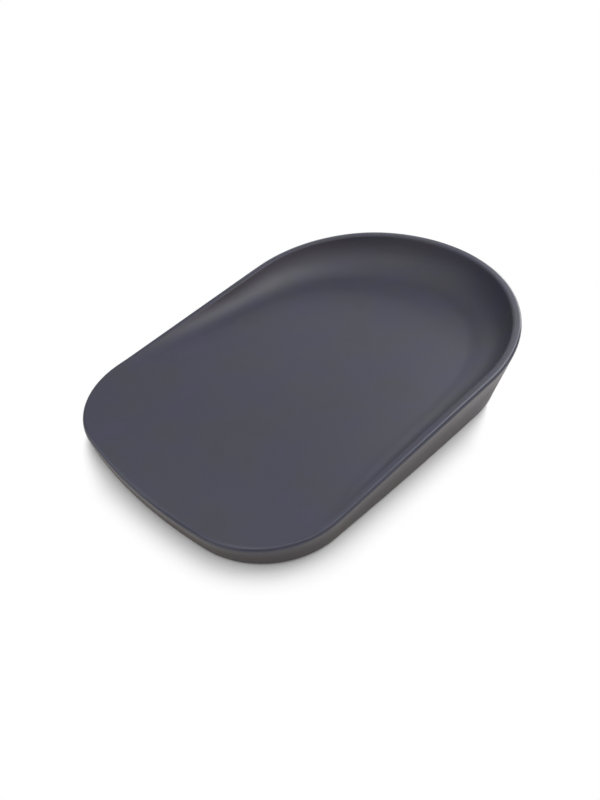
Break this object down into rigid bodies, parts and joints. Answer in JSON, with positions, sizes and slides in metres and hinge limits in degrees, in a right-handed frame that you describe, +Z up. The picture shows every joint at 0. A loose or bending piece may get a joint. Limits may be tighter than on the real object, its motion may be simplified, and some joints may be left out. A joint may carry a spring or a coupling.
{
  "type": "changing mat",
  "caption": "Moulded foam baby changing mat: round-headed tray whose lying surface runs out flush at the foot, with a rim that climbs to stand high round the head, and grip pads below.",
  "frame": {"origin": "on the surface that the mat lies on, under the middle of its bounding box", "axes": "+Y along the mat towards the round head end, +X across the mat to the right of a viewer who stands at the foot end and looks towards the head, +Z up"},
  "size_m": [0.49, 0.7, 0.1109],
  "materials": {
    "moulded_skin": "satin moulded polyurethane skin, dark slate grey, very fine grain",
    "foam": "closed-cell polyurethane foam, dyed grey",
    "grip_rubber": "matt dark rubber"
  },
  "bodies": {
    "root": {"upper_skin": "moulded_skin", "underside_skin": "moulded_skin", "foam_core": "foam", "grip_pad_foot_left": "grip_rubber", "grip_pad_foot_right": "grip_rubber", "grip_pad_middle_left": "grip_rubber", "grip_pad_middle_right": "grip_rubber", "grip_pad_head_left": "grip_rubber", "grip_pad_head_right": "grip_rubber"}
  },
  "joints": []
}
